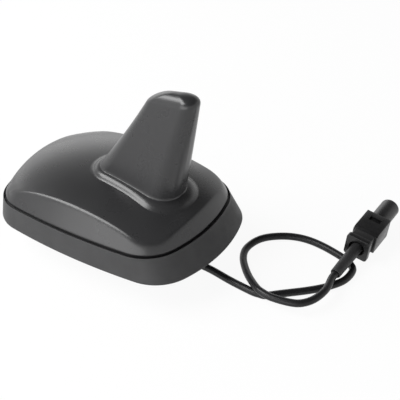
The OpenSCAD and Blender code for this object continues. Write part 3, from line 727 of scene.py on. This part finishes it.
@dataclass
class Cover:
    """The moulded cover and its fin: the outer skin, the inner skin and four bosses."""

    shop: Workshop
    shape: BodyShape
    boss_pitch: Pair = (54.0, 33.0)
    boss_r: float = 3.2
    plate_top: float = 5.5
    screw_r: float = 1.3
    screw_way: Pair = (-1.0, 9.0)  # from the plate's top
    gap_in: float = 0.62
    # The edge's roll over the gap, as pairs of inset and height above the lip.
    gap_roll: Profile = ((0.6, 0.1), (0.5, 0.3), (0.25, 0.42), (0.06, 0.5), (0.0, 0.62))
    # Where the rings lie: on the flank against the crease's distance in, then up the crown and up the fin.
    inner_shares: Values = (0, 0.75, 1.1)
    inner_crown: Values = (0.4, 0.8)
    inner_fin: Values = (0.5, 1)
    flank_shares: Values = (0.0, 0.06, 0.2, 0.4, 0.58, 0.72, 0.8, 0.86, 0.91, 0.95, 0.98, 1.01, 1.04,
                            1.08, 1.13, 1.19, 1.26, 1.36)
    crown_shares: Values = (0, 0.05, 0.12, 0.2, 0.29, 0.38, 0.47, 0.56, 0.65, 0.74, 0.82, 0.89, 0.95)
    # The collar, as pairs of shares of its width out from the foot and of its height.
    collar_profile: Profile = ((1, 0), (0.86, 0.22), (0.65, 0.63), (0.42, 0.9), (0.2, 1.02), (0.05, 1.08))
    fin_shares: Values = (0.03, 0.1, 0.2, 0.3, 0.4, 0.5, 0.6, 0.7, 0.8, 0.88, 0.94, 0.98)
    tip_turns: Values = (0, 6, 12, 18, 25, 32, 39, 46, 53, 59, 65, 70, 75, 79, 82, 85, 87.5, 90)

    def rings(self) -> list[Ring]:
        """Lists all rings of the two skins.

        Returns:
            The rings from inside the fin, down, round the edge and up to the tip.
        """
        s = self.shape
        inner = [s.edge_ring(s.edge_in + s.wall, -s.groove_d)]
        inner += [s.inner_ring(t) for t in self.inner_shares]
        inner += [s.crown_ring(k, s.wall) for k in self.inner_crown]
        inner.append(s.over_crown(s.fin_at(0, -s.wall), -s.wall))
        inner += [s.fin_ring(k, -s.wall, s.wall) for k in self.inner_fin]
        gap = [(self.gap_in, -s.groove_d), *self.gap_roll]
        outer = [s.edge_ring(s.edge_in + inset, z) for inset, z in gap]
        outer += [s.cover_ring(t) for t in self.flank_shares]
        outer += [s.crown_ring(k) for k in self.crown_shares]
        outer += [s.over_crown(s.collar_at(a), b * s.collar[2]) for a, b in spline(self.collar_profile, 4)]
        outer.append(s.over_crown(s.fin_at(0, 0), s.foot_lift))
        outer += [s.fin_ring(k) for k in self.fin_shares]
        outer += [s.tip_ring(t) for t in self.tip_turns]
        return inner[::-1] + outer

    def build(self) -> None:
        """Makes the cover and hands it over."""
        obj = self.shop.wrap("aerial_cover", self.rings())
        places = [(x * self.boss_pitch[0], y * self.boss_pitch[1]) for x in (-0.5, 0.5) for y in (-0.5, 0.5)]
        low, high = (self.plate_top + z for z in self.screw_way)
        tops = [self.shape.crown_z(*at) - self.shape.wall / 2 for at in places]
        bosses = [self.shop.post(at, self.boss_r, self.plate_top, top) for at, top in zip(places, tops)]
        holes = [self.shop.post(at, self.screw_r, low, high) for at in places]
        self.shop.cut(obj, *bosses, how="UNION")
        self.shop.cut(obj, *holes)
        self.shop.smooth(obj, 50)
        self.shop.hand_over(obj, Slot.COVER, "cover")


@dataclass
class SealPad:
    """The rubber pad: flared skirt, lip and groove above, shelf and floor inside, sealing beads below."""

    shop: Workshop
    shape: BodyShape
    hole_r: float = 7.2
    hole_round: float = 0.15
    seat_r: float = 10.2
    seat_d: float = 0.8
    neck_groove: Pair = (12.0, 14.3)  # inner and outer radius
    neck_groove_d: float = 0.5
    neck_groove_slope: float = 0.3
    flat_in: float = 11.0
    flat_shares: Values = (0.3, 0.6, 1)
    floor_shares: Values = (0.6, 0)
    bead_ins: Trio = (3.0, 5.4, 7.8)  # hollows between the beads, in from the foot
    bead_foot: float = 0.9
    bead_top: float = 0.6
    bead_h: float = 0.6
    # Pairs of inset and height: the foot's from the roof, and the lip's from its top.
    foot_profile: Profile = ((0.7, 0.0), (0.35, 0.08), (0.12, 0.3), (0.0, 0.9))
    skirt_shares: Values = (0.08, 0.25, 0.5, 0.75, 0.92)
    lip_outer: Profile = ((0.0, -0.45), (0.03, -0.2), (0.1, -0.06), (0.2, 0.0))
    lip_inner: Profile = ((-0.08, -0.03), (0.0, -0.15))
    shelf_gap: float = 0.6  # how much wider the shelf is than the cover's wall

    def circle(self, r: float, z: float, k: float = 0.0, e: float = 0.0) -> Ring:
        """A level ring between a circle and the outline at the roof.

        Args:
            r: Radius of the circle.
            z: Height of the ring.
            k: Share of the way from the circle to the outline.
            e: How far the outline is moved in.

        Returns:
            The ring.
        """
        out = []
        for x, y in self.shape.outline(0, e):
            a = math.atan2(y, x)
            out.append((mix(r * math.cos(a), x, k), mix(r * math.sin(a), y, k), z))
        return out

    def underside(self) -> list[Ring]:
        """Lists the rings under the pad, with the groove round the neck and the sealing beads.

        Returns:
            The rings from the hole outwards.
        """
        s = self.shape
        (r0, r1), lean, deep = self.neck_groove, self.neck_groove_slope, self.neck_groove_d
        out = [self.circle(self.hole_r, self.hole_round), self.circle(self.hole_r + self.hole_round, 0)]
        out += [self.circle(r, z) for r, z in ((r0, 0), (r0 + lean, deep), (r1 - lean, deep), (r1, 0))]
        out += [self.circle(r1, 0, k, self.flat_in) for k in self.flat_shares]
        foot, top, high = self.bead_foot, self.bead_top, self.bead_h
        for e in reversed(self.bead_ins):
            out += [s.flat_ring(0, e + d, z) for d, z in ((foot, 0), (top, high), (-top, high), (-foot, 0))]
        return out

    def rings(self) -> list[Ring]:
        """Lists all rings of the pad.

        Returns:
            The rings from the hole's lower edge out under the pad, up the skirt, over the lip and back in.
        """
        s = self.shape
        wall = s.edge_in + s.wall + self.shelf_gap
        skirt = [s.flat_ring(0, inset, z) for inset, z in self.foot_profile]
        lip = [s.edge_ring(inset, z) for inset, z in self.lip_outer]
        lip += [s.edge_ring(s.lip_w + inset, z) for inset, z in self.lip_inner]
        lip += [s.edge_ring(s.lip_w, -s.groove_d), s.edge_ring(wall, -s.groove_d)]
        low, high = skirt[-1], lip[0]
        for k in self.skirt_shares:
            skirt.append([tuple(mix(a, b, k) for a, b in zip(p, q)) for p, q in zip(low, high)])
        seat = s.pad_floor - self.seat_d
        inside = [s.flat_ring(1, wall, s.pad_floor)]
        inside += [self.circle(self.seat_r, s.pad_floor, k, wall + 1) for k in self.floor_shares]
        inside += [self.circle(self.seat_r, seat), self.circle(self.hole_r, seat)]
        return self.underside() + skirt + lip + inside

    def build(self) -> None:
        """Makes the pad and hands it over."""
        obj = self.shop.wrap("seal_pad_rubber", self.rings(), tube=True)
        self.shop.smooth(obj, 32)
        self.shop.hand_over(obj, Slot.PAD, "seal_pad")


@dataclass
class MountingNeck:
    """The hollow threaded neck with its flange and cable slot."""

    shop: Workshop
    radius: float = 7.0
    bore: float = 4.75
    low: float = -14.0
    flange_r: float = 10.0
    flange_z: Pair = (2.5, 4.0)  # lower and upper face
    flange_edge: float = 0.15
    top: float = 5.5
    edge: float = 0.2
    nose_in: float = 1.0
    nose_edge: float = 0.9
    first_ring: float = 0.05
    pitch: float = 1.5
    thread_d: float = 0.7
    thread_full: float = 1.25  # above 1 for a flat root
    thread_top: float = -0.9
    slot_w: float = 4.2
    slot_top: float = -9.2
    steps: int = 72
    rings_per_turn: int = 10

    def ring(self, r: float, z: float) -> Ring:
        """A plain ring at height z."""
        turn = 2 * math.pi / self.steps
        return [(r * math.cos(turn * k), r * math.sin(turn * k), z) for k in range(self.steps)]

    def thread_ring(self, z: float) -> Ring:
        """A ring whose radius follows the thread's helix, with a chamfer at the lower end.

        Args:
            z: Its height.

        Returns:
            The ring.
        """
        out = []
        for k in range(self.steps):
            a = 2 * math.pi * k / self.steps
            phase = ((z - self.pitch * a / (2 * math.pi)) / self.pitch) % 1.0
            tooth = min(1.0, abs(2 * phase - 1) * self.thread_full)
            r = self.radius - self.thread_d * tooth
            r = min(r, self.radius - self.nose_edge + (z - self.low))
            out.append((r * math.cos(a), r * math.sin(a), z))
        return out

    def profile(self) -> list[Pair]:
        """The neck's section above the thread, as pairs of radius and height."""
        under, over = self.flange_z
        return [(self.radius, self.thread_top + self.edge), (self.radius, under), (self.flange_r, under),
                (self.flange_r, over - self.flange_edge), (self.flange_r - self.flange_edge, over),
                (self.radius, over), (self.radius, self.top - self.edge), (self.radius - self.edge, self.top),
                (self.bore + self.edge, self.top), (self.bore, self.top - self.edge)]

    def build(self) -> None:
        """Makes the neck and hands it over."""
        count = int((self.thread_top - self.low) / self.pitch * self.rings_per_turn)
        rings = [self.ring(self.bore, self.low), self.ring(self.radius - self.nose_in, self.low)]
        heights = [mix(self.low + self.first_ring, self.thread_top, i / count) for i in range(count + 1)]
        rings += [self.thread_ring(z) for z in heights]
        rings += [self.ring(r, z) for r, z in self.profile()]
        obj = self.shop.wrap("threaded_neck", rings, tube=True)
        half = self.slot_w / 2
        slot = self.shop.box((0.0, -half, self.low - 2.0), (self.radius + 2.0, half, self.slot_top))
        self.shop.cut(obj, slot)
        self.shop.smooth(obj, 30)
        self.shop.hand_over(obj, Slot.PLATED, "mounting_neck")


@dataclass
class Plug:
    """The plug on the cable's end: housing, lock piece and boot. Its own +Y points to the nose."""

    shop: Workshop
    at: Point = (94.1, 44.3, -7.6)  # middle of the flange's rear face
    pitch: float = 2.5
    roll: float = 7.0
    length: float = 34.4
    nose_r: float = 4.4
    nose_round: float = 0.9
    flange: Trio = (11.2, 2.6, 11.0)  # width, thickness, height
    flange_hole_r: float = 3.8
    flange_edge: float = 0.28
    corner_r: float = 1.3
    waist: Pair = (9.6, 8.6)  # width, height
    waist_edge: float = 0.35
    block: Pair = (11.7, 9.9)  # width, height
    block_edge: float = 0.3
    block_y: Pair = (6.8, 20.8)  # start, end
    ridge: Pair = (2.0, 0.8)  # length and fall of its slope
    lock: Trio = (5.2, 2.4, 0.9)  # width, length, how far below the block's top
    lock_at: float = 0.69  # share of the way along the block
    lock_gap: float = 0.1
    rib: Values = (0.32, 0.5, 0.17, 0.28)  # half width as a share, from the middle, half length, height
    key: Trio = (0.8, 0.6, 3.0)  # half width, depth, distance from the block
    lap: float = 0.6
    bore_r: float = 2.9
    bore_y: Pair = (4.0, 20.0)
    mouth_r: float = 3.4
    mouth_round: float = 0.3
    boot_r: float = 2.6
    boot_l: float = 19.5
    boot_lip: Profile = ((0.0, 0.62), (0.1, 0.4), (0.4, 0.26), (1.0, 0.24))  # place, how much thinner
    boot_body: Profile = ((-13, 0.12), (-6, 0), (3.6, 0), (3.9, 0.1), (4, 0.3))
    cable_r: float = 1.65

    @property
    def matrix(self) -> Matrix:
        """From the plug's own axes, in metres, to the model's."""
        turns = [Matrix.Rotation(math.radians(a), 4, k) for a, k in ((self.roll, "Y"), (self.pitch, "X"))]
        return Matrix.Translation(Vector(self.at) * MM) @ (turns[0] @ turns[1])

    def point(self, x: float, y: float, z: float) -> Point:
        """A point of the plug's own axes in the model's, in millimetres."""
        return tuple((self.matrix @ (Vector((x, y, z)) * MM)) / MM)

    @property
    def lock_y(self) -> float:
        """Where the middle of the lock piece lies along the plug."""
        return mix(*self.block_y, self.lock_at)

    def flange_plate(self) -> Piece:
        """Makes the rear flange: a plate with round corners and softened edges.

        Returns:
            The plate.
        """
        w, t, h = self.flange
        plate = self.shop.box((-w / 2, 0, -h / 2), (w / 2, t, h / 2))
        bpy.ops.object.mode_set(mode="EDIT")
        bm = bmesh.from_edit_mesh(plate.data)
        for e in bm.edges:
            a, b = e.verts
            e.select = abs(a.co.y - b.co.y) > t * MM * 0.9
        bmesh.update_edit_mesh(plate.data)
        bpy.ops.mesh.bevel(offset=self.corner_r * MM, segments=6, affect="EDGES")
        bpy.ops.object.mode_set(mode="OBJECT")
        self.shop.soften(plate, self.flange_edge, 50)
        return plate

    def middle_block(self) -> Piece:
        """Makes the block with its sloped rear ridge and softened edges.

        Returns:
            The block.
        """
        (y0, y1), half, h = self.block_y, self.block[0] / 2, self.block[1] / 2
        side = [(y0, -h), (y1, -h), (y1, h), (y0 + self.ridge[0], h), (y0, h - self.ridge[1])]
        block = self.shop.wrap("block", [[(x, y, z) for y, z in side] for x in (-half, half)])
        self.shop.soften(block, self.block_edge, 15)
        return block

    def round_nose(self) -> Piece:
        """Makes the round nose, with its outer edge rounded.

        Returns:
            The nose.
        """
        r, q, start = self.nose_r, self.nose_round, self.block_y[1] - 1.0
        arc = [(self.length - q + q * math.sin(a), r - q + q * math.cos(a))
               for a in (math.radians(15 * k) for k in range(7))]
        return self.shop.lathe("nose", [(start, 0.3), (start, r)] + arc + [(self.length, 0.3)], 96)

    def bores(self) -> list[Piece]:
        """Makes the tools for the hole in the flange and for the bore with its mouth.

        Returns:
            The two tools.
        """
        hole_end, boot_way, boot_end = self.flange[1] + 0.8, self.boot_r + 0.1, 5
        rear = [(-1, 0.2), (-1, self.flange_hole_r), (hole_end, self.flange_hole_r), (hole_end, boot_way),
                (boot_end, boot_way), (boot_end, 0.2)]
        (y0, y1), wide = self.bore_y, self.mouth_r + self.mouth_round
        front = [(y0, 0.2), (y0, self.bore_r), (y1, self.bore_r), (y1, self.mouth_r),
                 (self.length - self.mouth_round, self.mouth_r), (self.length + 0.1, wide),
                 (self.length + 1, wide), (self.length + 1, 0.2)]
        return [self.shop.lathe("rear", rear), self.shop.lathe("bore", front)]

    def housing(self) -> Piece:
        """Makes the whole housing: flange, waist, block and round nose, with bores, recess and key groove.

        Returns:
            The housing, in the plug's own axes.
        """
        obj = self.flange_plate()
        obj.name = obj.data.name = "plug_body"
        (w, h), (y0, y1) = self.waist, self.block_y
        start, end = self.flange[1] - self.lap, y0 + self.lap
        waist = self.shop.box((-w / 2, start, -h / 2), (w / 2, end, h / 2), self.waist_edge)
        self.shop.cut(obj, waist, how="UNION")
        self.shop.cut(obj, self.middle_block(), how="UNION")
        self.shop.cut(obj, self.round_nose(), how="UNION")
        for tool in self.bores():
            self.shop.cut(obj, tool)
        lw, ll = self.lock[0] / 2 + self.lock_gap, self.lock[1] / 2 + self.lock_gap
        self.shop.cut(obj, self.shop.box((-lw, self.lock_y - ll, 0.0), (lw, self.lock_y + ll, self.block[1])))
        (kw, deep, behind), r = self.key, self.nose_r
        self.shop.cut(obj, self.shop.box((-kw, y1 + behind, -r - 1), (kw, self.length + 2, -r + deep)))
        return obj

    def boot(self) -> Piece:
        """Makes the soft boot round the cable: a slight taper and a round rear lip.

        Returns:
            The boot, in the plug's own axes.
        """
        r, b, rear = self.boot_r, self.cable_r + 0.1, -self.boot_l
        outer = [(rear, b + 0.15)] + [(rear + y, r - thin) for y, thin in self.boot_lip]
        outer += [(y, r - thin) for y, thin in self.boot_body]
        inner = [(4, b), (-4, b), (-12, b), (rear + 0.15, b)]
        return self.shop.lathe("plug_boot_rubber", outer + inner, tube=True)

    def lock_piece(self) -> Piece:
        """Makes the lock piece in the recess, with two small grip ribs.

        Returns:
            The lock piece, in the plug's own axes.
        """
        w, l, sunk = self.lock
        y, top = self.lock_y, self.block[1] / 2 - sunk
        obj = self.shop.box((-w / 2, y - l / 2, 1.0), (w / 2, y + l / 2, top), 0.15, 2)
        share, away, half, high = self.rib
        wide = w * share
        for k in (-1, 1):
            at = y + k * away
            rib = self.shop.box((-wide, at - half, top - 0.2), (wide, at + half, top + high), 0.08, 2)
            self.shop.cut(obj, rib, how="UNION")
        r = self.bore_r + 0.05
        self.shop.cut(obj, self.shop.lathe("way", [(y - 3, 0.2), (y - 3, r), (y + 3, r), (y + 3, 0.2)]))
        obj.name = obj.data.name = "plug_lock_piece"
        return obj

    def build(self) -> list[Piece]:
        """Makes the three pieces, puts them on the cable's end and hands them over.

        Returns:
            The new pieces.
        """
        made = []
        for make, slot, node, angle in ((self.housing, Slot.PLUG, "plug_housing", 32),
                                        (self.boot, Slot.BOOT, "plug_boot", 40),
                                        (self.lock_piece, Slot.LOCK, "plug_lock", 30)):
            obj = make()
            obj.data.transform(self.matrix)
            self.shop.smooth(obj, angle)
            made.append(self.shop.hand_over(obj, slot, node))
        return made


@dataclass
class CoaxCable:
    """The coaxial cable: up in the neck, out of its slot, round once, over itself and into the plug."""

    shop: Workshop
    plug: Plug
    diameter: float = 3.3
    low: float = -12.3
    start: Point = (-1.5, 0.0, 8.0)
    exit: Point = (5.5, 0.0, -12.2)
    steps: int = 8

    def route(self) -> list[Sequence[float]]:
        """Gives the route, with the same points as in the part's source.

        Returns:
            The route's points, in millimetres.
        """
        low, p = self.low, self.plug.point
        return [self.start, (-1.5, 0, 5), (-1.5, 0, 1), (-1.5, 0, -4.3), (-0.9, 0, -7.4), (0.8, 0, -10),
                (3.4, 0, -11.7), (6.5, 0, low), (16, 0.4, low), (30, 1.3, low), (44, 1.7, low),
                (57, 0.1, low), (67.7, -0.7, low), (71.3, -0.4, low), (74.5, 0.5, low), (79.3, 5.1, low),
                (87.7, 13.2, low), (93.3, 19.9, low), (97.2, 27.1, low), (97.6, 34.2, low),
                (95.4, 37.8, low), (89.9, 40.6, low), (77.7, 43, low), (68.1, 42.6, low), (59.8, 38.9, low),
                (53.1, 32.1, low), (51.1, 23.2, low), (54, 15.3, -11.9), (61.8, 6, -10.3),
                (70.1, -0.8, -8.8), (74, -2.4, -8.6), (79, -3, -8.5), (86.7, -1.7, -8.4), (91.2, 0.8, -8.4),
                (94.3, 6, -8.4), (95.4, 13.6, -8.4), p(0, -self.plug.boot_l - 3, 0),
                p(0, -self.plug.boot_l, 0), p(0, -12, 0), p(0, -4, 0), p(0, 9, 0)]

    def build(self, on_it: Sequence[Piece]) -> None:
        """Args:
            on_it: The pieces on the cable's end; not used.
        """
        pts = [Vector(q) * MM for q in spline(self.route(), self.steps)]
        curve = bpy.data.curves.new("coax_cable", "CURVE")
        curve.dimensions = "3D"
        line = curve.splines.new("POLY")
        line.points.add(len(pts) - 1)
        for p, q in zip(line.points, pts):
            p.co = (*q, 1.0)
        line.use_smooth = True
        curve.bevel_depth = self.diameter / 2 * MM
        curve.bevel_resolution = 6
        curve.use_fill_caps = True
        obj = bpy.data.objects.new("coax_cable", curve)
        bpy.context.scene.collection.objects.link(obj)
        self.shop.hand_over(obj, Slot.JACKET, "antenna_cable")


PLUG_NODES = ("plug_ferrule", "plug_shell", "plug_insulator", "plug_pin")


def dress_inner_parts(shop: Workshop) -> None:
    """Gives every CAD node that stays the finish of its slot in the record.

    Args:
        shop: The workshop with the CAD nodes and the finishes.
    """
    for part in frame["record"]["subparts"]:
        name, slot = part["node"], Slot(part["material_slot"])
        if name not in shop.replaced:
            materials = shop.nodes[name].data.materials
            materials.clear()
            materials.append(shop.mats[slot])
            log.info("%s: CAD node, finish %s", name, slot.value)


@dataclass(frozen=True)
class Lamp:
    """A soft box lamp that faces the object."""

    name: str
    turn: float  # direction from the object round Z, in degrees from the rear end
    height: float  # angle above the roof, in degrees
    distance: float  # metres
    size: Pair  # width and height, in metres
    power: float  # watts

    def way(self) -> Vector:
        """The direction from the object to the lamp."""
        a, e = math.radians(self.turn), math.radians(self.height)
        return Vector((math.cos(e) * math.cos(a), math.cos(e) * math.sin(a), math.sin(e)))


@dataclass
class Studio:
    """Camera, soft lamps, pale floor, and surroundings that are white at the horizon and dim overhead."""

    azimuth: float = 33.8
    elevation: float = 36.35
    distance: float = 0.45
    lens: float = 89.1
    sensor: float = 36.0
    nearest: float = 0.01
    target: Point = (0.0230, 0.02737, 0.0)
    floor_z: float = -0.014
    floor_size: float = 6.0
    floor_white: float = 0.93  # share of plain white in what is seen
    floor_grey: float = 0.9
    ambient: float = 0.8
    ceiling: float = 0.1  # brightness overhead, against 1 at the horizon
    fade: Pair = (0.3, 0.68)  # the direction's Z from horizon to ceiling
    lamps: tuple[Lamp, ...] = (
        Lamp("key", 219, 46, 0.9, (0.75, 0.45), 9.5),
        Lamp("near_side", 266, 11, 0.9, (1.1, 0.4), 3.6),
        Lamp("horizon", 140, 12, 0.9, (1.1, 0.3), 1.0),
    )

    def camera(self) -> None:
        """Sets the camera up at the photograph's viewing angle."""
        data = bpy.data.cameras.new("camera")
        data.lens = self.lens
        data.sensor_width = self.sensor
        data.clip_start = self.nearest
        cam = bpy.data.objects.new("camera", data)
        a, e = math.radians(self.azimuth), math.radians(self.elevation)
        back = Vector((math.sin(a) * math.cos(e), -math.cos(a) * math.cos(e), math.sin(e)))
        cam.location = Vector(self.target) + back * self.distance
        cam.rotation_euler = (math.radians(90 - self.elevation), 0.0, a)
        bpy.context.scene.collection.objects.link(cam)
        bpy.context.scene.camera = cam

    def lights(self) -> None:
        """Hangs the lamps round the object, each facing it and unseen by the camera."""
        middle = Vector(self.target)
        for lamp in self.lamps:
            data = bpy.data.lights.new(lamp.name, "AREA")
            data.shape = "RECTANGLE"
            data.size, data.size_y = lamp.size
            data.energy = lamp.power
            obj = bpy.data.objects.new(lamp.name, data)
            obj.location = middle + lamp.way() * lamp.distance
            obj.visible_camera = False
            obj.rotation_euler = (obj.location - middle).to_track_quat("Z", "Y").to_euler()
            bpy.context.scene.collection.objects.link(obj)

    def surroundings(self) -> None:
        """Makes the world: soft light for the object, and white at the horizon where it is seen."""
        world = bpy.data.worlds.new("studio")
        bpy.context.scene.world = world
        world.use_nodes = True
        world.node_tree.nodes.clear()
        nodes = Nodes(world.node_tree)
        place = nodes.add("TexCoord", {}).outputs["Generated"]
        height = nodes.add("SeparateXYZ", {"Vector": place}).outputs["Z"]
        fade = nodes.add("MapRange", {"Value": height, "From Min": self.fade[0], "From Max": self.fade[1],
                                      "To Min": 1.0, "To Max": self.ceiling})
        fade.interpolation_type = "SMOOTHSTEP"
        light, white = (nodes.add("Background", {"Color": fade.outputs["Result"], "Strength": strength})
                        for strength in (self.ambient, 1.0))
        nodes.end("OutputWorld", nodes.seen(), light, white)

    def floor(self) -> None:
        """Lays the floor under the neck's end: white, with the object's soft shadow kept."""
        bpy.ops.object.select_all(action="DESELECT")
        bpy.ops.mesh.primitive_plane_add(size=self.floor_size, location=(0, 0, self.floor_z))
        obj = bpy.context.object
        Workshop.settle(obj)
        obj.name = "floor"
        mat = bpy.data.materials.new("floor_white")
        mat.use_nodes = True
        mat.node_tree.nodes.clear()
        nodes = Nodes(mat.node_tree)
        matte = nodes.add("BsdfDiffuse", {"Color": (self.floor_grey, self.floor_grey, self.floor_grey, 1)})
        share = nodes.add("Math", {0: nodes.seen(), 1: self.floor_white})
        share.operation = "MULTIPLY"
        nodes.end("OutputMaterial", share.outputs[0], matte, nodes.add("Emission", {}))
        obj.data.materials.append(mat)

    def build(self) -> None:
        """Sets up everything but the camera."""
        self.lights()
        self.surroundings()
        self.floor()
        bpy.context.scene.view_settings.view_transform = "Standard"


def main() -> None:
    """Builds the camera, the plug, the cable, the outer pieces and the studio in turn."""
    logging.basicConfig(level=logging.INFO, format="%(name)s: %(message)s")
    studio = Studio()
    studio.camera()
    shop = Workshop(frame["nodes"])
    plug = Plug(shop)
    pieces = plug.build()
    CoaxCable(shop, plug).build(pieces + [shop.nodes[n] for n in PLUG_NODES])
    shape = BodyShape()
    Cover(shop, shape).build()
    SealPad(shop, shape).build()
    MountingNeck(shop).build()
    dress_inner_parts(shop)
    studio.build()


if __name__ == "__main__":
    main()
